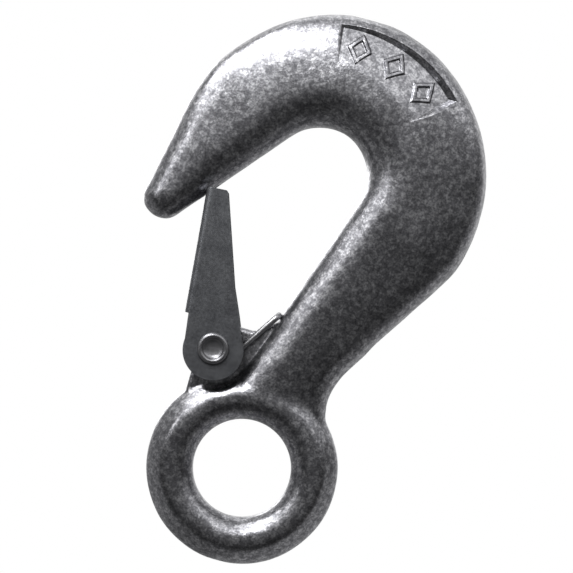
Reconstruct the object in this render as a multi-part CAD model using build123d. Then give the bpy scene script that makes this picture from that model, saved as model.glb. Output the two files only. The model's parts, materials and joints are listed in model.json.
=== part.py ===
from build123d import *
import math
import os

# Eye hook with a spring latch, in millimetres.
# Origin: centre of the eye, at mid thickness. +Z runs from the hook up through the eye, so the load
# pulls along -Z. +Y is the axis of the eye's bore. +X is the throat side, where the latch is.

# ---------------------------------------------------------------- driving dimensions
EYE_BORE_R = 12.5
EYE_OUTER_R = 24.25
EYE_LAND_LENGTH = 3.6          # trimmed cylindrical land in the middle of the bore

BOWL = (0.8, -77.1)            # centre of the bowl's saddle, x and z
SADDLE_R = 12.35               # inner radius of the bowl
BACK_R = 42.2                  # outer radius of the back, from the bowl's centre
NOSE_R = 38.0                  # outer radius where the point begins
BACK_ENDS_AT = 240.0           # degrees round the bowl where the outer radius starts to shrink
NOSE_STARTS_AT = 345.0
SHANK_TANGENT_AT = 161.5       # degrees where the shank's inner line leaves the saddle
POINT_TANGENT_AT = 319.5       # degrees where the point's inner line leaves the saddle

NECK_INNER = (3.1, -32.1)      # where the shank's straight inner line begins, below the lug
TIP_CENTRE = (37.45, -60.9)    # centre of the rounded end of the point
TIP_ALONG = (0.5, 0.87)        # way the point faces
TIP_R = 5.3

EYE_END_THICK = 10.6           # thicknesses of the body, from the eye to the tip
NECK_THICK = 12.6
BOWL_THICK = 18.4
POINT_THICK = 15.4
NOSE_THICK = 13.4
TIP_THICK = 10.6

PIVOT = (15.06, -27.5)         # latch pivot, x and z
PIVOT_RELIEF_R = 10.9          # round relief in the body about the pivot, on both faces
LUG_THICK = 5.0
LUG_NOSE_R = 6.9
LUG_EDGE_X = 19.0
RIVET_R = 2.6
HEAD_R, HEAD_RISE = 4.2, 1.7   # domed head, at the back
RIM_R, RIM_RISE = 4.0, 1.15    # rolled end, at the front
RUNNING_CLEARANCE = 0.06

LATCH_SHEET = 1.5
LATCH_HALF_GAP = 6.4           # half of the gap between the latch's two plates
LATCH_END_R = 7.7
LATCH_BEND_R = 1.6

SPRING_WIRE_R = 0.8
SPRING_COIL_R = 4.63           # mean radius of the coils
SPRING_PITCH = 1.62
BRIDGE_ANGLE = 146.5           # degrees round the pivot where the bridge's legs leave the coils
BRIDGE_REACH = 17.9            # length of those legs, from the coils to the bridge
BRIDGE_BEND_R = 1.5
ARM_SHARE = 0.42               # how far down the latch's web the arms end
ARM_R = 0.75                   # straight wire, a little thinner, so that it only just meets its seats

PANEL_LOW, PANEL_HIGH = 225.5, 276.3      # degrees round the bowl
PANEL_INNER, PANEL_OUTER = 28.0, 37.6     # radii of the panel's floor
FLOOR_IN, FLOOR_OUT = 8.5, 4.9            # height of the floor above mid thickness at those radii
PANEL_WALL_SLOPE = 1.25
MARK_RADIUS = 33.0
MARK_HALF_LONG, MARK_HALF_WIDE = 4.1, 3.3
MARK_STROKE = 1.25
MARK_RISE = 0.9

THROUGH = 40.0                 # reach of a cut that goes right through

# The cross section of the body runs from its inner nose (0) to the parting line at its back (1).
# Each pair is a place across the section and the share of the half thickness that it has there.
SECTION = (
    (0.03, 0.44),
    (0.11, 0.775),
    (0.285, 1.0),
    (0.52, 0.965),
    (0.74, 0.84),
    (0.92, 0.64),
    (0.975, 0.37),
)


def polar(radius, degrees, centre=BOWL):
    angle = math.radians(degrees)
    return (centre[0] + radius * math.cos(angle), centre[1] + radius * math.sin(angle))


def between(a, b, share):
    return (a[0] + (b[0] - a[0]) * share, a[1] + (b[1] - a[1]) * share)


def section_face(inner, outer, thick):
    """Body section on the line from an inner point to an outer point, square to the XZ plane."""
    width = math.dist(inner, outer)
    along = Vector(outer[0] - inner[0], 0, outer[1] - inner[1]).normalized()
    plane = Plane(
        origin=(inner[0], 0, inner[1]), x_dir=along, z_dir=along.cross(Vector(0, 1, 0))
    )
    upper = [(place * width, share * thick / 2) for place, share in SECTION]
    lower = [(x, -y) for x, y in reversed(upper)]
    outline = Spline((0, 0), *upper, (width, 0), *lower, periodic=True)
    return plane * make_face(outline)


def back_radius(degrees):
    share = min(max((degrees - BACK_ENDS_AT) / (NOSE_STARTS_AT - BACK_ENDS_AT), 0), 1)
    return NOSE_R + (BACK_R - NOSE_R) * (1 + math.cos(math.pi * share)) / 2


def body_stations():
    """Inner point, outer point and thickness, from the eye round the bowl to the tip."""
    shank_end = polar(SADDLE_R, SHANK_TANGENT_AT)
    stations = [
        ((12.5, -16.0), (-17.4, -15.6), EYE_END_THICK),
        ((7.2, -22.6), (-16.3, -22.2), 11.8),
        (NECK_INNER, (-17.7, -28.3), NECK_THICK),
        (between(NECK_INNER, shank_end, 0.27), (-22.0, -35.6), 13.8),
        (between(NECK_INNER, shank_end, 0.6), (-30.0, -48.5), 15.8),
        (between(NECK_INNER, shank_end, 0.84), (-35.6, -57.4), 17.2),
    ]
    bowl_step = (POINT_TANGENT_AT - SHANK_TANGENT_AT) / 8
    for index in range(9):
        degrees = SHANK_TANGENT_AT + index * bowl_step
        fade = max(index - 4, 0) / 4
        thick = BOWL_THICK + (POINT_THICK - BOWL_THICK) * fade
        stations.append((polar(SADDLE_R, degrees), polar(back_radius(degrees), degrees), thick))

    nose = polar(NOSE_R, NOSE_STARTS_AT)
    tip_along = Vector(*TIP_ALONG).normalized()
    tip_across = Vector(-tip_along.Y, tip_along.X)
    tip = Vector(*TIP_CENTRE)

    def tip_pair(degrees):
        middle = tip + tip_along * TIP_R * math.sin(math.radians(degrees))
        half = TIP_R * math.cos(math.radians(degrees))
        left, right = middle + tip_across * half, middle - tip_across * half
        return (left.X, left.Y), (right.X, right.Y)

    tip_inner, tip_outer = tip_pair(0)
    point_start = stations[-1][0]
    stations.append((between(point_start, tip_inner, 0.22), polar(38.6, 330.0), 14.6))
    stations.append((between(point_start, tip_inner, 0.45), nose, NOSE_THICK))
    for share, inner_share in ((0.4, 0.64), (0.72, 0.84)):
        thick = NOSE_THICK + (TIP_THICK - NOSE_THICK) * share
        stations.append(
            (between(point_start, tip_inner, inner_share), between(nose, tip_outer, share), thick)
        )
    for degrees in (0, 32, 56, 74):
        inner, outer = tip_pair(degrees)
        stations.append((inner, outer, TIP_THICK * math.cos(math.radians(degrees))))
    return stations


def eye_ring():
    """Round-section ring whose bore is trimmed to a short cylindrical land."""
    radial = EYE_OUTER_R - EYE_BORE_R
    half_land = EYE_LAND_LENGTH / 2
    overlap = half_land**2 / (2 * (radial / 2))
    section_r = (radial + overlap) / 2
    section = Pos(EYE_OUTER_R - section_r, 0) * Circle(section_r)
    ring = revolve(section, Axis.Y, 360)
    return ring - Rot(90, 0, 0) * Cylinder(EYE_BORE_R, THROUGH)


def lug():
    """Thin web in the corner between eye and shank, which carries the latch's pivot."""
    corner = Polygon(
        (2.0, -14.2),
        (LUG_EDGE_X, -13.5),
        (LUG_EDGE_X, PIVOT[1]),
        (PIVOT[0], PIVOT[1] - LUG_NOSE_R),
        (5.4, PIVOT[1] - LUG_NOSE_R),
        (1.05, -38.3),
        (-3.0, -38.3),
        (-3.0, -20.0),
        align=None,
    )
    nose = Pos(*PIVOT) * Circle(LUG_NOSE_R)
    outline = Plane.XZ * (corner + nose)
    return extrude(outline, LUG_THICK / 2, both=True)


def pivot_cylinder(radius, low_y, high_y):
    middle = (low_y + high_y) / 2
    return Pos(PIVOT[0], middle, PIVOT[1]) * Rot(90, 0, 0) * Cylinder(radius, high_y - low_y)


def floor_height(radius):
    share = (radius - PANEL_INNER) / (PANEL_OUTER - PANEL_INNER)
    return FLOOR_IN + (FLOOR_OUT - FLOOR_IN) * share


def maker_panel():
    """Sunk panel on the front of the bowl: a sector whose floor runs out towards the saddle."""
    start = Vector(math.cos(math.radians(PANEL_LOW)), 0, math.sin(math.radians(PANEL_LOW)))
    plane = Plane(
        origin=(BOWL[0], 0, BOWL[1]), x_dir=start, z_dir=start.cross(Vector(0, 1, 0))
    )
    wall_run = (BOWL_THICK - FLOOR_OUT) / PANEL_WALL_SLOPE
    profile = Polygon(
        (PANEL_INNER, -FLOOR_IN),
        (PANEL_OUTER, -FLOOR_OUT),
        (PANEL_OUTER + wall_run, -BOWL_THICK),
        (PANEL_INNER, -BOWL_THICK),
        align=None,
    )
    axis = Axis((BOWL[0], 0, BOWL[1]), (0, -1, 0))
    return revolve(plane * profile, axis, PANEL_HIGH - PANEL_LOW)


def panel_marks():
    """Three plain open lozenges that stand up from the panel's floor."""
    long, wide = MARK_HALF_LONG, MARK_HALF_WIDE
    side_reach = long * wide / math.hypot(long, wide)
    inner = 1 - MARK_STROKE / side_reach
    frame = Polygon((-long, 0), (0, -wide), (long, 0), (0, wide), align=None)
    frame -= Polygon(
        (-long * inner, 0), (0, -wide * inner), (long * inner, 0), (0, wide * inner), align=None
    )
    slope = (FLOOR_IN - FLOOR_OUT) / (PANEL_OUTER - PANEL_INNER)
    marks = []
    for index in range(3):
        degrees = PANEL_LOW + (PANEL_HIGH - PANEL_LOW) * (index + 0.5) / 3
        x, z = polar(MARK_RADIUS, degrees)
        cos, sin = math.cos(math.radians(degrees)), math.sin(math.radians(degrees))
        floor = Plane(
            origin=(x, -floor_height(MARK_RADIUS), z),
            x_dir=(cos, slope, sin),
            z_dir=(slope * cos, -1, slope * sin),
        )
        marks.append(extrude(floor * frame, MARK_RISE, both=True))
    return marks


def hook_forging():
    sections = [section_face(*station) for station in body_stations()]
    body = loft(sections) + eye_ring()
    for side in (-1, 1):
        low, high = sorted((side * LUG_THICK / 2, side * THROUGH / 2))
        body -= pivot_cylinder(PIVOT_RELIEF_R, low, high)
    body += lug()
    body -= Rot(90, 0, 0) * Cylinder(EYE_BORE_R, THROUGH)
    body -= pivot_cylinder(RIVET_R + RUNNING_CLEARANCE, -THROUGH / 2, THROUGH / 2)
    body -= maker_panel()
    for mark in panel_marks():
        body += mark
    return body


# The latch's web lies between two lines from its pivot end to its tip.
WEB_TOP = (24.4, -34.5)
WEB_TIP = (27.45, -66.5)
PLATE_EDGE = (23.45, -34.5)
PLATE_TIP = (22.1, -66.9)


def web_point(share, depth):
    """Point on the latch's web: share of the way to the tip, at a depth below its outer face."""
    x, z = between(WEB_TOP, WEB_TIP, share)
    along = Vector(WEB_TIP[0] - WEB_TOP[0], WEB_TIP[1] - WEB_TOP[1]).normalized()
    return (x + along.Y * depth, z - along.X * depth)


def latch():
    """Folded sheet channel: two plates on the pivot, joined by a web on the throat side."""
    blank = Polygon(
        (PIVOT[0] + 6.4, PIVOT[1] + 4.3),
        (PIVOT[0] + 7.4, PIVOT[1] + 0.6),
        PLATE_EDGE,
        WEB_TOP,
        WEB_TIP,
        PLATE_TIP,
        (14.0, -43.8),
        (10.9, -36.9),
        (PIVOT[0] - 7.4, PIVOT[1] - 1.6),
        align=None,
    )
    end = Pos(PIVOT[0] - 0.1, PIVOT[1] + 0.4) * Circle(LATCH_END_R)
    outline = blank + end
    tip_corners = outline.vertices().sort_by(Axis.Y)[:2]
    outline = fillet(tip_corners, 0.7)
    half_width = LATCH_HALF_GAP + LATCH_SHEET
    body = extrude(Plane.XZ * outline, half_width, both=True)

    inside = Polygon(
        (THROUGH, 0),
        (THROUGH, WEB_TOP[1]),
        web_point(0, LATCH_SHEET),
        web_point(1.2, LATCH_SHEET),
        (0, -80),
        (0, 0),
        align=None,
    )
    body -= extrude(Plane.XZ * inside, LATCH_HALF_GAP, both=True)
    beyond_tip = Polygon(
        (22.0, -75.0), (22.0, -69.9), (29.2, -61.5), (34.0, -61.5), (34.0, -75.0), align=None
    )
    body -= extrude(Plane.XZ * beyond_tip, LATCH_HALF_GAP, both=True)

    web_dir = Vector(WEB_TIP[0] - WEB_TOP[0], 0, WEB_TIP[1] - WEB_TOP[1]).normalized()
    across = Plane(
        origin=Vector(WEB_TOP[0], 0, WEB_TOP[1]) - web_dir * 30,
        x_dir=Vector(0, 1, 0).cross(web_dir),
        z_dir=web_dir,
    )
    folded = Rectangle(THROUGH, 2 * half_width, align=(Align.MIN, Align.CENTER))
    folded = fillet(folded.vertices().sort_by(Axis.X)[:2], LATCH_BEND_R)
    body &= extrude(across * folded, 2 * THROUGH)
    return body - pivot_cylinder(RIVET_R, -THROUGH / 2, THROUGH / 2)


def rivet():
    """Semi-tubular rivet: a domed head at the back, its end rolled over at the front."""
    outside = LATCH_HALF_GAP + LATCH_SHEET
    profile = Plane.XY * make_face(
        Polyline(
            (0, outside + HEAD_RISE),
            (1.6, outside + HEAD_RISE - 0.1),
            (3.1, outside + 1.1),
            (HEAD_R, outside + 0.35),
            (HEAD_R, outside),
            (RIVET_R, outside),
            (RIVET_R, -outside),
            (RIM_R, -outside),
            (RIM_R, -outside - 0.7),
            (RIM_R - 0.4, -outside - RIM_RISE),
            (RIM_R - 0.9, -outside - RIM_RISE),
            (2.7, -outside - 0.75),
            (2.3, -outside - 0.3),
            (0, -outside - 0.1),
            close=True,
        )
    )
    return Pos(PIVOT[0], 0, PIVOT[1]) * revolve(profile, Axis.Y, 360)


def torsion_spring():
    """Double torsion spring: a coil each side of the lug, arms on the web, a bridge on the shank."""
    centre = Vector(PIVOT[0], 0, PIVOT[1])
    inner_y = LUG_THICK / 2 + SPRING_WIRE_R + 0.03

    arm_end = Vector(*web_point(ARM_SHARE, LATCH_SHEET + ARM_R + 0.08))
    reach = arm_end - Vector(*PIVOT)
    lead = math.degrees(math.atan2(reach.Y, reach.X))
    arm_angle = lead + math.degrees(math.acos(SPRING_COIL_R / reach.length))
    turn = 360 + BRIDGE_ANGLE - arm_angle
    outer_y = inner_y + SPRING_PITCH * turn / 360

    def on_coil(degrees, y):
        x, z = polar(SPRING_COIL_R, degrees, PIVOT)
        return Vector(x, y, z)

    start = Plane(
        origin=centre + Vector(0, outer_y, 0),
        x_dir=(on_coil(arm_angle, 0) - centre).normalized(),
        z_dir=(0, -1, 0),
    )
    helix = start * Helix(SPRING_PITCH, outer_y - inner_y, SPRING_COIL_R)
    wire = Plane(origin=helix @ 0, z_dir=helix % 0) * Circle(SPRING_WIRE_R)
    coil = sweep(wire, path=helix, is_frenet=True)
    arm_path = Line(on_coil(arm_angle + 4, outer_y), Vector(arm_end.X, outer_y, arm_end.Y))
    coil += sweep(Plane(origin=arm_path @ 0, z_dir=arm_path % 0) * Circle(ARM_R), path=arm_path)

    leave = on_coil(BRIDGE_ANGLE - 4, inner_y)
    tangent = math.radians(BRIDGE_ANGLE + 90)
    foot = on_coil(BRIDGE_ANGLE, inner_y) + Vector(math.cos(tangent), 0, math.sin(tangent)) * BRIDGE_REACH
    path = FilletPolyline(
        leave,
        foot,
        Vector(foot.X, -inner_y, foot.Z),
        Vector(leave.X, -inner_y, leave.Z),
        radius=BRIDGE_BEND_R,
    )
    bridge = sweep(Plane(origin=path @ 0, z_dir=path % 0) * Circle(ARM_R), path=path)
    return bridge + coil + mirror(coil, Plane.XZ)


os.makedirs("parts", exist_ok=True)
export_step(hook_forging(), "parts/hook_forging.step")
export_step(latch(), "parts/latch.step")
export_step(rivet(), "parts/rivet.step")
export_step(torsion_spring(), "parts/torsion_spring.step")
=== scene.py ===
import json
import math

import bmesh
import bpy
import numpy as np
from mathutils import Matrix, Vector, noise


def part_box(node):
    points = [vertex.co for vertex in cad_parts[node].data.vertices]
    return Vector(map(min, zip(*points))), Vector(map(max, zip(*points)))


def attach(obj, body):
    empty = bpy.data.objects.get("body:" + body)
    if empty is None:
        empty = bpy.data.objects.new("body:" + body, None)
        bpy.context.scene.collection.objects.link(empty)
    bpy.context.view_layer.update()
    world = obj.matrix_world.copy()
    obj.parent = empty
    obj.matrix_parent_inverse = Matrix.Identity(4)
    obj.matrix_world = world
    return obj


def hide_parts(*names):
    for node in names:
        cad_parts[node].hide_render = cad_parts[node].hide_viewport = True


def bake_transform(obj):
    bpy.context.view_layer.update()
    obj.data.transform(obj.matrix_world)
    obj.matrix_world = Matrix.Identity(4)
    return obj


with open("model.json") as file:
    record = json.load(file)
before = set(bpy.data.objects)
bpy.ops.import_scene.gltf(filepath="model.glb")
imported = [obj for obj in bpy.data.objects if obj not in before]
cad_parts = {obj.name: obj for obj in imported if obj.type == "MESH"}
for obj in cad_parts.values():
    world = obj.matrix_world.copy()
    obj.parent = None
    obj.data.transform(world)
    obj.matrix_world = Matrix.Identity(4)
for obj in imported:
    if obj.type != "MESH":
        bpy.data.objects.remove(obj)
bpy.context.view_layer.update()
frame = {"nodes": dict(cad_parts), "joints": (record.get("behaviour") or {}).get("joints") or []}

# Shapes are worked out in millimetres, in the frame of the CAD model, and written to meshes in metres.
MM = 0.001

# ---------------------------------------------------------------- driving dimensions, millimetres
# Points are (x, z) pairs in the plane of the hook, and angles round the bowl are in degrees from +X.
EYE_BORE_R = 12.5
EYE_OUTER_R = 24.25
EYE_HALF_THICK = 6.0
EYE_LAND = 3.6                 # straight land in the middle of the bore
BOWL = (0.8, -77.1)            # centre of the bowl's saddle
SADDLE_R = 12.35
BACK_R = 42.2                  # outer radius of the back, from the bowl's centre
NOSE_R = 38.0                  # outer radius where the point begins
BACK_ENDS_AT = 240.0           # where the outer radius starts to shrink
NOSE_STARTS_AT = 345.0
SHANK_TANGENT_AT = 161.5       # where the shank's inner line leaves the saddle
POINT_TANGENT_AT = 319.5       # where the point's inner line leaves the saddle
NECK_INNER = (3.1, -32.1)      # where the shank's inner line begins, below the lug
TIP_CENTRE = (37.45, -60.9)    # centre of the rounded end of the point
TIP_ALONG = (0.5, 0.87)        # the way the point faces
TIP_R = 5.3

EYE_END_THICK = 10.6           # thicknesses of the body, from the eye to the tip
NECK_THICK = 12.6
BOWL_THICK = 18.4
POINT_THICK = 15.4
NOSE_THICK = 13.4
TIP_THICK = 10.6

RIM = 1.45                     # width of the rounded rim beside the parting line, on a wide section
RIM_SHARE = 0.58               # height of that rim as a share of the half thickness
RIM_FULL_AT = 14.0             # section width from which the rim has its full width
EDGE_ALLOWANCE = 0.3           # what the smoothing of the skin takes off each edge again
NOSE_LENGTH = 8.0              # from the inner edge to the highest line of the section, on the straights
SADDLE_EXTRA = 2.0             # what the bowl adds to that length
NOSE_SHARE = 0.42              # longest nose, as a share of the section's width

RELIEF_R = 10.6                # round relief about the latch's pivot, on both faces
LUG_THICK = 5.0
LUG_NOSE_R = 6.9
LUG_EDGE_X = 19.0              # the lug's outer edge, between its nose and the eye
LUG_EDGE_ROUND = 1.5
RIVET_R = 2.6
RIVET_CLEARANCE = 0.06

PANEL_LOW, PANEL_HIGH = 225.5, 276.3            # ends of the sunk panel, round the bowl
PANEL_INNER, PANEL_OUTER = 28.0, 37.6           # radii of its floor
PANEL_FLOOR_IN, PANEL_FLOOR_OUT = 8.5, 5.2      # height of the floor at those radii
PANEL_WALL_SLOPE = 1.05
PANEL_SOFT = 0.3               # height over which the walls' edges are rounded
MARK_COUNT = 3
MARK_RADIUS = 33.0             # the row of lozenges, round the bowl
MARK_HALF_LONG, MARK_HALF_WIDE = 4.1, 3.3
MARK_STROKE = 1.25             # width of a lozenge's raised outline
MARK_RISE = 0.9
MARK_EDGE = 0.3                # width of the stroke's sloping edge

LATCH_SHEET = 1.5
LATCH_HALF_GAP = 6.4           # half of the gap between the latch's plates
LATCH_EDGE_ROUND = 0.22
WEB_TOP = (24.4, -34.5)        # the web's outer line, from the pivot's end to the tip
WEB_TIP = (27.45, -66.5)
WIRE_R = 0.8
COIL_R = 4.63                  # mean radius of the coils
COIL_PITCH = 1.62
WIRE_GAP = 0.03                # from the coils to the lug
ARM_GAP = 0.05                 # from the arms to the web
ARM_SHARE = 0.42               # how far down the web the arms end
BRIDGE_ANGLE = 146.5           # round the pivot, where the bridge's legs leave the coils
BRIDGE_REACH = 17.9            # length of those legs
BRIDGE_BEND_R = 1.5

joint = frame["joints"][0]
PIVOT = (joint["pos_m"][0] / MM, joint["pos_m"][2] / MM)


# ---------------------------------------------------------------- small geometry helpers
def polar(radius, degrees, centre=BOWL):
    angle = math.radians(degrees)
    return (centre[0] + radius * math.cos(angle), centre[1] + radius * math.sin(angle))


def between(a, b, share):
    return (a[0] + (b[0] - a[0]) * share, a[1] + (b[1] - a[1]) * share)


def flowing(points, count, closed=False):
    """A number of points, evenly spread along a smooth cubic through the given ones."""
    points = np.asarray(points, float)
    if closed:
        points = np.vstack([points, points[:1]])
    gaps = np.linalg.norm(np.diff(points, axis=0), axis=1)
    at = np.concatenate([[0], np.cumsum(gaps)])
    slopes = np.diff(points, axis=0) / gaps[:, None]
    inner = (slopes[:-1] * gaps[1:, None] + slopes[1:] * gaps[:-1, None]) / (gaps[:-1] + gaps[1:])[:, None]
    if closed:
        seam = (slopes[-1] * gaps[0] + slopes[0] * gaps[-1]) / (gaps[0] + gaps[-1])
        tangents = np.vstack([seam, inner, seam])
    else:
        tangents = np.vstack([slopes[0], inner, slopes[-1]])
    wanted = np.linspace(0, at[-1], count, endpoint=not closed)
    span = np.clip(np.searchsorted(at, wanted, side="right") - 1, 0, len(gaps) - 1)
    t = ((wanted - at[span]) / gaps[span])[:, None]
    width = gaps[span][:, None]
    a, b = points[span], points[span + 1]
    ta, tb = tangents[span] * width, tangents[span + 1] * width
    return (
        (2 * t**3 - 3 * t**2 + 1) * a + (t**3 - 2 * t**2 + t) * ta
        + (3 * t**2 - 2 * t**3) * b + (t**3 - t**2) * tb
    )


def mesh_object(name, vertices, faces):
    """A new object from vertices in millimetres."""
    mesh = bpy.data.meshes.new(name)
    mesh.from_pydata([tuple(c * MM for c in v) for v in vertices], [], faces)
    mesh.validate()
    thing = bpy.data.objects.new(name, mesh)
    bpy.context.scene.collection.objects.link(thing)
    return thing


def skin_rings(name, rings, capped=True):
    """A tube through rings of points, which all have the same number of points."""
    around = len(rings[0])
    vertices = [tuple(point) for ring in rings for point in ring]
    faces = []
    for r in range(len(rings) - 1):
        for k in range(around):
            n = (k + 1) % around
            low, high = r * around, (r + 1) * around
            faces.append((low + k, low + n, high + n, high + k))
    if capped:
        faces.append(tuple(reversed(range(around))))
        faces.append(tuple(range((len(rings) - 1) * around, len(rings) * around)))
    else:
        last = (len(rings) - 1) * around
        for k in range(around):
            n = (k + 1) % around
            faces.append((last + k, last + n, n, k))
    return mesh_object(name, vertices, faces)


def prism(name, outline, low_y, high_y):
    """A flat outline of (x, z) points pulled along Y."""
    count = len(outline)
    vertices = [(x, low_y, z) for x, z in outline] + [(x, high_y, z) for x, z in outline]
    faces = [tuple(range(count)), tuple(reversed(range(count, 2 * count)))]
    for k in range(count):
        n = (k + 1) % count
        faces.append((n, k, count + k, count + n))
    return mesh_object(name, vertices, faces)


def outward(thing):
    """Turns all faces outwards."""
    work = bmesh.new()
    work.from_mesh(thing.data)
    bmesh.ops.recalc_face_normals(work, faces=work.faces)
    work.to_mesh(thing.data)
    work.free()
    return thing


def settle(thing):
    """Replaces an object's mesh with the result of its modifiers."""
    shaped = bpy.data.meshes.new_from_object(
        thing.evaluated_get(bpy.context.evaluated_depsgraph_get())
    )
    thing.modifiers.clear()
    thing.data = shaped
    return thing


def cut(thing, tool):
    """Takes the tool's space out of a thing and drops the tool."""
    modifier = thing.modifiers.new("cut", "BOOLEAN")
    modifier.operation = "DIFFERENCE"
    modifier.solver = "EXACT"
    modifier.object = tool
    settle(thing)
    bpy.data.objects.remove(tool)
    return thing


def merge(name, things):
    """One mesh object that holds all the given ones."""
    work = bmesh.new()
    for thing in things:
        work.from_mesh(thing.data)
        bpy.data.objects.remove(thing)
    mesh = bpy.data.meshes.new(name)
    work.to_mesh(mesh)
    work.free()
    whole = bpy.data.objects.new(name, mesh)
    bpy.context.scene.collection.objects.link(whole)
    return whole


def round_edges(thing, width, segments, sharper_than):
    """A bevel on every edge that turns by more than the given degrees."""
    bevel = thing.modifiers.new("edges", "BEVEL")
    bevel.width = width * MM
    bevel.segments = segments
    bevel.limit_method = "ANGLE"
    bevel.angle_limit = math.radians(sharper_than)


def smooth_faces(thing):
    thing.data.polygons.foreach_set("use_smooth", [True] * len(thing.data.polygons))
    thing.data.update()


# ---------------------------------------------------------------- the forging
def back_radius(degrees):
    share = min(max((degrees - BACK_ENDS_AT) / (NOSE_STARTS_AT - BACK_ENDS_AT), 0), 1)
    return NOSE_R + (BACK_R - NOSE_R) * (1 + math.cos(math.pi * share)) / 2


def body_stations():
    """Inner point, outer point and thickness, from the eye round the bowl to the tip."""
    shank_end = polar(SADDLE_R, SHANK_TANGENT_AT)
    stations = [
        ((12.5, -16.0), (-17.4, -15.6), EYE_END_THICK),
        ((7.2, -22.6), (-16.3, -22.2), NECK_THICK - 0.8),
        (NECK_INNER, (-17.7, -28.3), NECK_THICK),
        (between(NECK_INNER, shank_end, 0.27), (-22.0, -35.6), 13.8),
        (between(NECK_INNER, shank_end, 0.6), (-30.1, -48.45), 15.8),
        (between(NECK_INNER, shank_end, 0.84), (-35.8, -57.3), 17.2),
    ]
    half_bowl = 4
    bowl_step = (POINT_TANGENT_AT - SHANK_TANGENT_AT) / (2 * half_bowl)
    for index in range(2 * half_bowl + 1):
        degrees = SHANK_TANGENT_AT + index * bowl_step
        fade = max(index - half_bowl, 0) / half_bowl
        thick = BOWL_THICK + (POINT_THICK - BOWL_THICK) * fade
        stations.append((polar(SADDLE_R, degrees), polar(back_radius(degrees), degrees), thick))

    nose = polar(NOSE_R, NOSE_STARTS_AT)
    tip_along = Vector(TIP_ALONG).normalized()
    tip_across = Vector((-tip_along.y, tip_along.x))
    tip = Vector(TIP_CENTRE)

    def tip_pair(degrees):
        middle = tip + tip_along * TIP_R * math.sin(math.radians(degrees))
        half = TIP_R * math.cos(math.radians(degrees))
        return tuple(middle + tip_across * half), tuple(middle - tip_across * half)

    tip_inner, tip_outer = tip_pair(0)
    point_start = stations[-1][0]
    stations.append((between(point_start, tip_inner, 0.22), polar(NOSE_R + 0.6, 330.0), 14.6))
    stations.append((between(point_start, tip_inner, 0.45), nose, NOSE_THICK))
    for share, inner_share in ((0.4, 0.64), (0.72, 0.84)):
        thick = NOSE_THICK + (TIP_THICK - NOSE_THICK) * share
        stations.append(
            (between(point_start, tip_inner, inner_share), between(nose, tip_outer, share), thick)
        )
    for degrees in (0, 20, 38, 54, 68, 80):
        inner, outer = tip_pair(degrees)
        stations.append((inner, outer, TIP_THICK * math.cos(math.radians(degrees))))
    return stations


# The section's front half. The first two curves are shares of a length and of the half thickness:
# the nose from the inner edge to the highest line, then the flatter face from there to the rim.
NOSE_CURVE = (
    (0.0, 0.0), (0.022, 0.22), (0.083, 0.44), (0.26, 0.705), (0.35, 0.775),
    (0.555, 0.885), (0.75, 0.966), (0.86, 0.992), (1.0, 1.0),
)
FACE_CURVE = ((0.15, 0.99), (0.33, 0.958), (0.53, 0.895), (0.73, 0.785))
# The step down to the rim: widths of the rim in from the edge, and height above the rim's corner.
STEP_CURVE = ((1.5, 0.055), (1.1, 0.0), (0.85, -0.07))


def body_section(width, half, saddle):
    """Half of the closed section, from the nose over the front to the parting line: (across, height)."""
    rim = RIM * min(max(width / RIM_FULL_AT, 0.4), 1)
    corner = RIM_SHARE * half
    nose = min(NOSE_LENGTH + SADDLE_EXTRA * saddle, NOSE_SHARE * width)
    points = [(share * nose, height * half) for share, height in NOSE_CURVE]
    points += [(nose + share * (width - nose), height * half) for share, height in FACE_CURVE]
    points += [(width - rims * rim, corner + height * half) for rims, height in STEP_CURVE]
    return points + [(width - 0.45 * rim, 0.5 * corner), (width, 0.08 * corner)]


def body_tube(ring_count=400, points_around=130):
    """The hook's body from the eye to the tip, as closed sections along a smooth run of stations."""
    table = np.array([(*inner, *outer, thick) for inner, outer, thick in body_stations()])
    rings = []
    for x_in, z_in, x_out, z_out, thick in flowing(table, ring_count):
        reach = math.hypot(x_out - x_in, z_out - z_in)
        along = ((x_out - x_in) / reach, (z_out - z_in) / reach)
        x_in, z_in = x_in - along[0] * EDGE_ALLOWANCE, z_in - along[1] * EDGE_ALLOWANCE
        width = reach + 2 * EDGE_ALLOWANCE
        saddle = min(max((BOWL[1] - z_in) / SADDLE_R, 0), 1)
        front = body_section(width, thick / 2, saddle)
        back = [(across, -height) for across, height in reversed(front[1:])]
        loop = flowing(front + back, points_around, closed=True)
        rings.append([(x_in + along[0] * u, -y, z_in + along[1] * u) for u, y in loop])
    return outward(skin_rings("body", rings))


def eye_ring(ring_count=200, points_around=60):
    """Round section with a trimmed land in the bore and a trimmed parting band round the outside."""
    middle = EYE_OUTER_R - EYE_HALF_THICK
    half_section = [
        (EYE_BORE_R, 0.6),
        (EYE_BORE_R, EYE_LAND / 2),
        (EYE_BORE_R + 0.5, 3.0),
        (EYE_BORE_R + 1.9, 4.75),
        (middle - 1.7, EYE_HALF_THICK - 0.2),
        (middle + 0.2, EYE_HALF_THICK),
        (middle + 2.2, EYE_HALF_THICK - 0.4),
        (EYE_OUTER_R - 2.1, 4.15),
        (EYE_OUTER_R - 1.0, 2.9),
        (EYE_OUTER_R, 1.1),
    ]
    section = half_section + [(r, -y) for r, y in reversed(half_section)]
    loop = flowing(section, points_around, closed=True)
    rings = []
    for k in range(ring_count):
        angle = 2 * math.pi * k / ring_count
        rings.append([(r * math.cos(angle), y, r * math.sin(angle)) for r, y in loop])
    return outward(skin_rings("ring", rings, capped=False))


def arc(centre, radius, start, end, count):
    return [polar(radius, start + (end - start) * k / (count - 1), centre) for k in range(count)]


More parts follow.
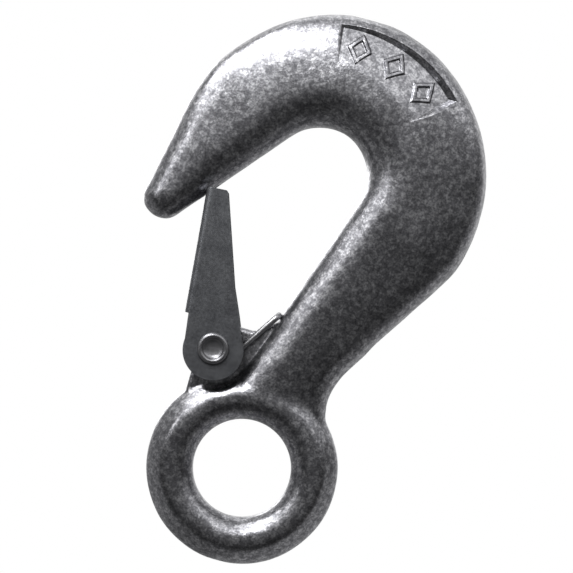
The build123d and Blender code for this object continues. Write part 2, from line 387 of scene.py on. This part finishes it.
def turned(name, profile, steps=96):
    """A profile of (radius, y) points turned about the pin's axis, from pole to pole."""
    rings = []
    for k in range(steps):
        angle = 2 * math.pi * k / steps
        rings.append([
            (PIVOT[0] + r * math.cos(angle), y, PIVOT[1] + r * math.sin(angle)) for r, y in profile[1:-1]
        ])
    vertices = [point for ring in rings for point in ring]
    per_ring = len(profile) - 2
    faces = []
    for k in range(steps):
        here, ahead = k * per_ring, (k + 1) % steps * per_ring
        for s in range(per_ring - 1):
            faces.append((here + s, here + s + 1, ahead + s + 1, ahead + s))
    for y, s in ((profile[0][1], 0), (profile[-1][1], per_ring - 1)):
        pole = len(vertices)
        vertices.append((PIVOT[0], y, PIVOT[1]))
        for k in range(steps):
            faces.append((k * per_ring + s, (k + 1) % steps * per_ring + s, pole))
    return outward(mesh_object(name, vertices, faces))


# From the relief's floor up its fillet to its rounded shoulder: beyond its radius, above its floor.
RELIEF_CURVE = (
    (-1.6, 0.0), (-0.8, 0.2), (-0.2, 0.8), (0.0, 1.6), (0.2, 2.4), (0.65, 3.1), (1.3, 3.7), (2.1, 4.3),
    (2.5, 5.2),
)
CLEAR_OF_HOOK = 20.0           # reach of a cut that goes right out of the forging


def relief_tool(side):
    """Round pocket that leaves the lug thin, with a filleted floor and a rounded shoulder."""
    floor = LUG_THICK / 2
    profile = [(0.0, floor)]
    profile += [(RELIEF_R + beyond, floor + rise) for beyond, rise in RELIEF_CURVE]
    profile += [(RELIEF_R + RELIEF_CURVE[-1][0], CLEAR_OF_HOOK), (0.0, CLEAR_OF_HOOK)]
    return turned("relief", [(r, side * y) for r, y in profile])


def lug():
    """Thin web in the corner between eye and shank, with rounded edges."""
    outline = [(2.0, -14.2), (LUG_EDGE_X, -13.5), (LUG_EDGE_X, PIVOT[1] + 5.6)]
    outline += arc(PIVOT, LUG_NOSE_R, 50, -90, 24)
    outline += [(6.6, PIVOT[1] - LUG_NOSE_R), (5.0, -34.9), (1.3, -38.1), (-3.0, -38.3), (-3.0, -20.0)]
    web = outward(prism("lug", outline, -LUG_THICK / 2, LUG_THICK / 2))
    round_edges(web, LUG_EDGE_ROUND, 4, 60)
    settle(web)
    hole = RIVET_R + RIVET_CLEARANCE
    reach = CLEAR_OF_HOOK
    return cut(web, turned("hole", [(0.0, -reach), (hole, -reach), (hole, reach), (0.0, reach)]))


PANEL_REACH = 4.0              # how far beyond its floor the panel's walls can reach


def sunk_panel(x, z, height):
    """Height of the front face at (x, z) once the panel and its three open lozenges are struck in."""
    radius = math.hypot(x - BOWL[0], z - BOWL[1])
    degrees = math.degrees(math.atan2(z - BOWL[1], x - BOWL[0])) % 360
    middle = (PANEL_LOW + PANEL_HIGH) / 2
    beyond_side = math.radians(abs(degrees - middle) - (PANEL_HIGH - PANEL_LOW) / 2) * radius
    beyond = max(radius - PANEL_OUTER, beyond_side, 0)
    if beyond > PANEL_REACH or radius < PANEL_INNER - PANEL_REACH:
        return height
    share = (radius - PANEL_INNER) / (PANEL_OUTER - PANEL_INNER)
    floor = PANEL_FLOOR_IN + (PANEL_FLOOR_OUT - PANEL_FLOOR_IN) * share
    cut_height = floor + PANEL_WALL_SLOPE * beyond
    if beyond == 0:
        pitch = (PANEL_HIGH - PANEL_LOW) / MARK_COUNT
        off_centre = (degrees - PANEL_LOW) % pitch - pitch / 2
        across = math.radians(off_centre) * MARK_RADIUS / MARK_HALF_WIDE
        along = (radius - MARK_RADIUS) / MARK_HALF_LONG
        side_reach = MARK_HALF_LONG * MARK_HALF_WIDE / math.hypot(MARK_HALF_LONG, MARK_HALF_WIDE)
        inside = (1 - abs(across) - abs(along)) * side_reach
        stroke = MARK_STROKE / 2 - abs(inside - MARK_STROKE / 2)
        cut_height += MARK_RISE * min(max(stroke / MARK_EDGE, 0), 1)
    rounding = max(PANEL_SOFT - abs(height - cut_height), 0) ** 2 / (4 * PANEL_SOFT)
    return min(height, cut_height) - rounding


def strike_panel(thing):
    """Refines the front face round the panel and presses the panel into it."""
    front = -3.0               # only what lies in front of this is pressed
    far_above = 50.0
    work = bmesh.new()
    work.from_mesh(thing.data)

    def near_panel(face):
        x, y, z = face.calc_center_median() / MM
        on_face = y < front and math.hypot(x - BOWL[0], z - BOWL[1]) < BACK_R - 0.8
        return on_face and sunk_panel(x, z, far_above) < far_above

    for _ in range(2):
        edges = {edge for face in work.faces if near_panel(face) for edge in face.edges}
        bmesh.ops.subdivide_edges(work, edges=list(edges), cuts=1, use_grid_fill=True)
    for vertex in work.verts:
        x, y, z = vertex.co / MM
        if y < front:
            vertex.co.y = -sunk_panel(x, z, -y) * MM
    work.to_mesh(thing.data)
    work.free()


# The forging's surface: the length and the height of its waves, its dents and its pits.
WAVE = (9.0, 0.12)
DENT = (3.2, 0.02)
PIT = (1.6, 0.07)
PIT_DEPTH_STARTS = 0.3         # noise level above which a pit begins


def forged_skin(thing, box):
    """Low waves and shallow pits of a forging, along the normals, kept inside the CAD box."""
    mesh = thing.data
    count = len(mesh.vertices)
    places = np.empty(count * 3)
    mesh.vertices.foreach_get("co", places)
    places = places.reshape(-1, 3)
    normals = np.empty(count * 3)
    mesh.vertex_normals.foreach_get("vector", normals)
    normals = normals.reshape(-1, 3)
    shift = np.empty(count)
    for k, (x, y, z) in enumerate(places / MM):
        wave = noise.noise(Vector((x, y, z)) / WAVE[0]) * WAVE[1]
        dents = noise.noise(Vector((x + 40, y, z)) / DENT[0]) * DENT[1]
        pits = -max(noise.noise(Vector((x, y + 70, z)) / PIT[0]) - PIT_DEPTH_STARTS, 0) * PIT[1]
        shift[k] = wave + dents + pits
    # The bore stays true, and the lug is nearly flat.
    bore = np.hypot(places[:, 0], places[:, 2]) / MM
    shift *= np.clip((bore - EYE_BORE_R - 0.2) / 1.2, 0, 1)
    pin = np.hypot(places[:, 0] / MM - PIVOT[0], places[:, 2] / MM - PIVOT[1])
    shift *= np.where(pin < LUG_NOSE_R + 1.5, 0.15, 1.0)
    moved = places + normals * shift[:, None] * MM
    low, high = np.array(box[0]), np.array(box[1])
    moved = np.clip(moved, low, high)
    mesh.vertices.foreach_set("co", moved.ravel())
    mesh.update()


NECK_CENTRE = (-3.5, -22.0)    # middle of the place where the shank crosses the eye
NECK_R = 24.0                  # how far from there the two are blended
CROSSING_R = EYE_OUTER_R - 3.5         # round the eye, where the two surfaces cross
CROSSING_HALF = 7.5            # how far from that line the blend reaches


def blend_neck(thing):
    """Melts the shank into the eye, where the two shapes cross."""
    group = thing.vertex_groups.new(name="neck")
    for vertex in thing.data.vertices:
        x, y, z = vertex.co / MM
        off_ring = abs(math.hypot(x, z) - CROSSING_R)
        from_neck = math.hypot(x - NECK_CENTRE[0], z - NECK_CENTRE[1])
        share = (1 - off_ring / CROSSING_HALF) * (1 - from_neck / NECK_R) * 4
        if share > 0 and math.hypot(x - PIVOT[0], z - PIVOT[1]) > RELIEF_R + 0.5:
            group.add([vertex.index], min(share, 1.0), "REPLACE")
    melt = thing.modifiers.new("melt", "SMOOTH")
    melt.factor = 0.9
    melt.iterations = 45
    melt.vertex_group = "neck"
    settle(thing)


VOXEL = 0.42


def make_hook():
    """The forging: body, eye and lug fused into one skin, smoothed, roughened and struck."""
    body, ring = body_tube(), eye_ring()
    for side in (-1, 1):
        cut(body, relief_tool(side))
        cut(ring, relief_tool(side))
    whole = merge("hook_forging_skin", [body, ring, lug()])
    remesh = whole.modifiers.new("fuse", "REMESH")
    remesh.mode = "VOXEL"
    remesh.voxel_size = VOXEL * MM
    soften = whole.modifiers.new("soften", "SMOOTH")
    soften.factor = 0.5
    soften.iterations = 2
    settle(whole)
    blend_neck(whole)
    forged_skin(whole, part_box("hook_forging"))
    strike_panel(whole)
    smooth_faces(whole)
    return whole


# ---------------------------------------------------------------- latch, rivet and spring
def make_latch():
    """The folded sheet of the CAD model with its edges broken and its hole kept."""
    source = frame["nodes"]["latch"]
    mesh = source.data.copy()
    mesh.materials.clear()
    piece = bpy.data.objects.new("latch_sheet_metal", mesh)
    bpy.context.scene.collection.objects.link(piece)
    work = bmesh.new()
    work.from_mesh(mesh)
    bmesh.ops.remove_doubles(work, verts=work.verts, dist=1e-6)
    bmesh.ops.dissolve_limit(work, angle_limit=math.radians(1.5), verts=work.verts, edges=work.edges)
    work.to_mesh(mesh)
    work.free()
    round_edges(piece, LATCH_EDGE_ROUND, 2, 40)
    weigh = piece.modifiers.new("flats", "WEIGHTED_NORMAL")
    weigh.weight = 90
    smooth_faces(piece)
    settle(piece)
    return piece


# The rivet's two ends, each as (radius, height above the latch's plate).
DOMED_HEAD = ((0.0, 1.7), (1.4, 1.62), (2.7, 1.3), (3.6, 0.85), (4.15, 0.3), (4.2, 0.0))
ROLLED_RIM = (
    (3.95, 0.0), (4.0, 0.45), (3.85, 0.85), (3.5, 1.12), (3.1, 1.15), (2.8, 0.95), (2.62, 0.6),
    (2.3, 0.32), (1.6, 0.14), (0.8, 0.08), (0.0, 0.06),
)


def make_rivet():
    """Semi-tubular rivet: a domed head at the back, its end rolled over round a dished middle in front."""
    outside = LATCH_HALF_GAP + LATCH_SHEET
    profile = [(r, outside + y) for r, y in DOMED_HEAD]
    profile += [(RIVET_R, outside), (RIVET_R, -outside)]
    profile += [(r, -outside - y) for r, y in ROLLED_RIM]
    piece = turned("rivet_clinched", profile, steps=72)
    smooth_faces(piece)
    return piece


def tube(name, path, radius, around=16):
    """Round wire along a path of points in millimetres, with softly cut ends."""
    path = [Vector(p) for p in path]
    tangents = []
    for k in range(len(path)):
        ahead = path[min(k + 1, len(path) - 1)]
        behind = path[max(k - 1, 0)]
        tangents.append((ahead - behind).normalized())
    normal = tangents[0].orthogonal().normalized()
    rings = []
    for k, (place, tangent) in enumerate(zip(path, tangents)):
        if k:
            normal = tangents[k - 1].rotation_difference(tangent) @ normal
            normal = (normal - tangent * normal.dot(tangent)).normalized()
        side = tangent.cross(normal)
        size = radius * (0.8 if k in (0, len(path) - 1) else 1.0)
        rings.append([
            place + (normal * math.cos(a) + side * math.sin(a)) * size
            for a in (2 * math.pi * n / around for n in range(around))
        ])
    piece = outward(skin_rings(name, rings))
    smooth_faces(piece)
    return piece


def spring_path(side):
    """From the arm's free end on the latch's web, round the coil, to the middle of the bridge."""
    along = Vector((WEB_TIP[0] - WEB_TOP[0], WEB_TIP[1] - WEB_TOP[1])).normalized()
    depth = LATCH_SHEET + WIRE_R + ARM_GAP
    foot_of_arm = between(WEB_TOP, WEB_TIP, ARM_SHARE)
    arm_end = Vector((foot_of_arm[0] + along.y * depth, foot_of_arm[1] - along.x * depth))
    reach = arm_end - Vector(PIVOT)
    arm_angle = math.degrees(math.atan2(reach.y, reach.x) + math.acos(COIL_R / reach.length))
    inner_y = LUG_THICK / 2 + WIRE_R + WIRE_GAP
    turn = 360 + BRIDGE_ANGLE - arm_angle
    outer_y = inner_y + COIL_PITCH * turn / 360

    start = polar(COIL_R, arm_angle, PIVOT)
    points = [(*between(arm_end, start, share), outer_y) for share in (0, 0.02, 0.25, 0.5, 0.75, 0.95)]
    coil_steps = 72
    for k in range(coil_steps + 1):
        share = k / coil_steps
        place = polar(COIL_R, arm_angle + turn * share, PIVOT)
        points.append((*place, outer_y + (inner_y - outer_y) * share))
    leave = Vector(polar(COIL_R, BRIDGE_ANGLE, PIVOT))
    tangent = math.radians(BRIDGE_ANGLE + 90)
    down = Vector((math.cos(tangent), math.sin(tangent)))
    straight = BRIDGE_REACH - BRIDGE_BEND_R
    for share in (0.1, 0.3, 0.6, 0.9):
        points.append((*(leave + down * straight * share), inner_y))
    bend_steps = 6
    for k in range(bend_steps + 1):
        angle = math.radians(90 * k / bend_steps)
        place = leave + down * (straight + BRIDGE_BEND_R * math.sin(angle))
        points.append((*place, inner_y - BRIDGE_BEND_R * (1 - math.cos(angle))))
    points.append((*(leave + down * BRIDGE_REACH), inner_y * 0.3))
    points.append((*(leave + down * BRIDGE_REACH), 0.0))
    return [(x, side * y, z) for x, z, y in points], inner_y, outer_y


# ---------------------------------------------------------------- materials
def shader(name):
    """A new material with its nodes, its links and its surface."""
    material = bpy.data.materials.new(name)
    material.use_nodes = True
    nodes = material.node_tree.nodes
    return material, nodes, material.node_tree.links, nodes["Principled BSDF"]


def add(nodes, kind, **values):
    """A new node, with its properties and its inputs set by name."""
    node = nodes.new(kind)
    for key, value in values.items():
        if hasattr(node, key):
            setattr(node, key, value)
        else:
            node.inputs[key].default_value = value
    return node


def noise_texture(nodes, scale, detail, roughness, distortion=0.0):
    return add(
        nodes, "ShaderNodeTexNoise", Scale=scale, Detail=detail, Roughness=roughness, Distortion=distortion
    )


def follow_object(nodes, links, textures):
    """Fixes textures to the object, so that they ride with it. Their scales are in cells per metre."""
    place = nodes.new("ShaderNodeTexCoord")
    for texture in textures:
        links.new(place.outputs["Object"], texture.inputs["Vector"])


def combine(nodes, links, operation, first, second):
    """The sum or the product of two values."""
    node = add(nodes, "ShaderNodeMath", operation=operation)
    links.new(first, node.inputs[0])
    links.new(second, node.inputs[1])
    return node.outputs["Value"]


def grey(value):
    return (value, value, value, 1)


def shade(nodes, links, value, stops, socket):
    """Drives a surface's socket through a ramp of (place, colour) stops."""
    ramp = nodes.new("ShaderNodeValToRGB")
    while len(ramp.color_ramp.elements) < len(stops):
        ramp.color_ramp.elements.new(0.5)
    for element, (place, colour) in zip(ramp.color_ramp.elements, stops):
        element.position = place
        element.color = colour
    links.new(value, ramp.inputs["Fac"])
    links.new(ramp.outputs["Color"], socket)


def roughen(nodes, links, height, surface, strength, distance):
    """Fine relief on a surface; the distance is in metres."""
    bump = add(nodes, "ShaderNodeBump", Strength=strength, Distance=distance)
    links.new(height, bump.inputs["Height"])
    links.new(bump.outputs["Normal"], surface.inputs["Normal"])


DARK_SCALE = (0.13, 0.13, 0.14, 1)
GREY_STEEL = (0.24, 0.24, 0.255, 1)
BRIGHT_ZINC = (0.5, 0.5, 0.52, 1)
# Dark and light tones of the smooth pieces.
LATCH_TONES = ((0.105, 0.108, 0.117), (0.165, 0.17, 0.18))
RIVET_TONES = ((0.16, 0.16, 0.17), (0.26, 0.26, 0.27))
WIRE_TONES = ((0.22, 0.22, 0.23), (0.36, 0.36, 0.37))


def forged_material():
    """Rough forged steel under a zinc coat: a fine speckle from dark to bright, pits and broad clouding."""
    material, nodes, links, surface = shader("forged_steel")
    grain = noise_texture(nodes, 1900.0, 3.0, 0.6)
    mottle = noise_texture(nodes, 750.0, 2.0, 0.5, distortion=0.5)
    pits = add(nodes, "ShaderNodeTexVoronoi", Scale=1900.0)
    broad = noise_texture(nodes, 120.0, 4.0, 0.6)
    follow_object(nodes, links, (grain, mottle, pits, broad))
    speck = combine(nodes, links, "MULTIPLY", grain.outputs["Fac"], mottle.outputs["Fac"])
    height = combine(nodes, links, "ADD", grain.outputs["Fac"], pits.outputs["Distance"])
    tones = ((0.13, DARK_SCALE), (0.25, GREY_STEEL), (0.4, BRIGHT_ZINC))
    gloss = ((0.3, grey(0.37)), (0.7, grey(0.28)))
    shade(nodes, links, speck, tones, surface.inputs["Base Color"])
    shade(nodes, links, broad.outputs["Fac"], gloss, surface.inputs["Roughness"])
    roughen(nodes, links, height, surface, 0.4, 0.00004)
    surface.inputs["Metallic"].default_value = 0.96
    return material


def sheet_material(name, dark, light, roughness):
    """Plated sheet, turned steel or wire: fine grain and clouding between two tones."""
    material, nodes, links, surface = shader(name)
    cloud = noise_texture(nodes, 260.0, 4.0, 0.6)
    grain = noise_texture(nodes, 1500.0, 2.0, 0.5)
    follow_object(nodes, links, (cloud, grain))
    tones = ((0.3, (*dark, 1)), (0.7, (*light, 1)))
    gloss = ((0.3, grey(roughness - 0.06)), (0.7, grey(roughness + 0.06)))
    shade(nodes, links, cloud.outputs["Fac"], tones, surface.inputs["Base Color"])
    shade(nodes, links, grain.outputs["Fac"], gloss, surface.inputs["Roughness"])
    roughen(nodes, links, grain.outputs["Fac"], surface, 0.2, 0.00002)
    surface.inputs["Metallic"].default_value = 0.9
    return material


# ---------------------------------------------------------------- build the pieces
hook = make_hook()
hook.data.materials.append(forged_material())
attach(hook, "hook")
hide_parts("hook_forging")

latch = make_latch()
latch.data.materials.append(sheet_material("latch_sheet", *LATCH_TONES, roughness=0.4))
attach(latch, "latch")
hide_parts("latch")

rivet = make_rivet()
rivet.data.materials.append(sheet_material("rivet_steel", *RIVET_TONES, roughness=0.36))
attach(rivet, "latch")
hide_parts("rivet")

wire_material = sheet_material("spring_wire", *WIRE_TONES, roughness=0.34)
for label, side in (("front", -1), ("back", 1)):
    route, inner_y, outer_y = spring_path(side)
    half = tube("spring_" + label, route, WIRE_R)
    half.data.materials.append(wire_material)
    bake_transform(half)
    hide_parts("torsion_spring")

# ---------------------------------------------------------------- camera, light and floor
# The camera looks squarely at the marked face, rolled so that the eye is below and the bowl above.
AIM = Vector((1.4, 0, -47.5)) * MM
DISTANCE = 0.8                 # metres
VIEW_WIDTH = 145.85 * MM       # what the picture's width takes in at the object
ROLL = math.radians(15.5)
right = Vector((-math.cos(ROLL), 0, -math.sin(ROLL)))
up = Vector((math.sin(ROLL), 0, -math.cos(ROLL)))
towards_camera = Vector((0, -1, 0))

lens = bpy.data.cameras.new("camera")
lens.sensor_width = 36.0
lens.lens = lens.sensor_width * DISTANCE / VIEW_WIDTH
lens.clip_start = 0.01
camera = bpy.data.objects.new("camera", lens)
bpy.context.scene.collection.objects.link(camera)
facing = Matrix((right, up, towards_camera)).transposed().to_4x4()
camera.matrix_world = Matrix.Translation(AIM + towards_camera * DISTANCE) @ facing
bpy.context.scene.camera = camera


def direction(off_axis, around):
    """A direction by its angle off the camera's axis and its angle round it, from image right to image up."""
    tilt, turn = math.radians(off_axis), math.radians(around)
    aside = right * math.cos(turn) + up * math.sin(turn)
    return towards_camera * math.cos(tilt) + aside * math.sin(tilt)


def area_light(name, place, size, watts):
    """A round softbox that faces the object. Its place is right, up and towards the camera, and its
    size is its diameter, both in millimetres."""
    offset = (right * place[0] + up * place[1] + towards_camera * place[2]) * MM
    data = bpy.data.lights.new(name, "AREA")
    data.shape = "DISK"
    data.size = size * MM
    data.energy = watts
    thing = bpy.data.objects.new(name, data)
    bpy.context.scene.collection.objects.link(thing)
    turn = offset.to_track_quat("Z", "Y").to_matrix().to_4x4()
    thing.matrix_world = Matrix.Translation(AIM + offset) @ turn
    thing.visible_camera = False


# The key stands high over the bowl. The next three shape the point and the left of the bowl, two more
# lift the right side, and the last two stand behind, for the outline and the back.
area_light("key", (-130, 500, 700), 250, 2.9)
area_light("middle", (-130, 250, 190), 130, 0.4)
area_light("strip", (-110, 190, 60), 150, 0.42)
area_light("side", (-235, 120, 230), 110, 0.12)
area_light("corner", (134, 232, 297), 220, 0.1)
area_light("right", (284, 199, 200), 200, 0.06)
area_light("rim", (25, 285, -200), 200, 0.1)
area_light("back", (-150, 100, -350), 200, 0.3)

# The soft surroundings: a direction, the cosine where its brightness starts, and its full strength.
LOBES = (
    (direction(140, 75), 0.5, 0.9),
    (-towards_camera, 0.3, 0.25),
    (direction(115, 160), 0.3, 0.35),
    (direction(115, -45), 0.3, 0.5),
    (direction(92, -128), 0.5, 0.2),
    (direction(20, 60), 0.6, 0.13),
)
AMBIENT = 0.01
WHITE = grey(1)


def lobe(nodes, links, where, start, strength):
    """Soft brightness round one direction of the sky: none below start, full along the direction."""
    place = nodes.new("ShaderNodeTexCoord")
    dot = add(nodes, "ShaderNodeVectorMath", operation="DOT_PRODUCT")
    links.new(place.outputs["Generated"], dot.inputs[0])
    dot.inputs[1].default_value = where
    spread = add(nodes, "ShaderNodeMapRange", interpolation_type="SMOOTHSTEP")
    spread.inputs["From Min"].default_value = start
    spread.inputs["From Max"].default_value = 1.0
    spread.inputs["To Max"].default_value = strength
    links.new(dot.outputs["Value"], spread.inputs["Value"])
    return spread.outputs["Result"]


def studio_world():
    """Dim surroundings with soft lobes for the metal to reflect, and plain white for the camera."""
    world = bpy.data.worlds.new("studio")
    world.use_nodes = True
    nodes, links = world.node_tree.nodes, world.node_tree.links
    sky = lobe(nodes, links, *LOBES[0])
    for row in LOBES[1:]:
        sky = combine(nodes, links, "ADD", sky, lobe(nodes, links, *row))
    total = add(nodes, "ShaderNodeMath", operation="ADD")
    total.inputs[1].default_value = AMBIENT
    links.new(sky, total.inputs[0])

    lit = nodes["Background"]
    lit.inputs["Color"].default_value = WHITE
    links.new(total.outputs["Value"], lit.inputs["Strength"])
    plain = nodes.new("ShaderNodeBackground")
    plain.inputs["Color"].default_value = WHITE
    seen = nodes.new("ShaderNodeLightPath")
    choose = nodes.new("ShaderNodeMixShader")
    links.new(seen.outputs["Is Camera Ray"], choose.inputs["Fac"])
    links.new(lit.outputs["Background"], choose.inputs[1])
    links.new(plain.outputs["Background"], choose.inputs[2])
    links.new(choose.outputs["Shader"], nodes["World Output"].inputs["Surface"])
    return world


bpy.context.scene.world = studio_world()
bpy.context.scene.view_settings.view_transform = "Standard"

FLOOR_Z = -900                 # millimetres, well below the hook
HALF_FLOOR = 1500
FLOOR_CORNERS = ((-1, -1), (1, -1), (1, 1), (-1, 1))


def floor_material():
    """Plain pale paint, lifted by a little light of its own."""
    paint, _, _, surface = shader("floor_paint")
    surface.inputs["Base Color"].default_value = grey(0.86)
    surface.inputs["Roughness"].default_value = 0.7
    surface.inputs["Emission Color"].default_value = WHITE
    surface.inputs["Emission Strength"].default_value = 0.55
    return paint


floor_points = [(x * HALF_FLOOR, y * HALF_FLOOR, FLOOR_Z) for x, y in FLOOR_CORNERS]
floor = mesh_object("floor", floor_points, [(0, 1, 2, 3)])
floor.data.materials.append(floor_material())
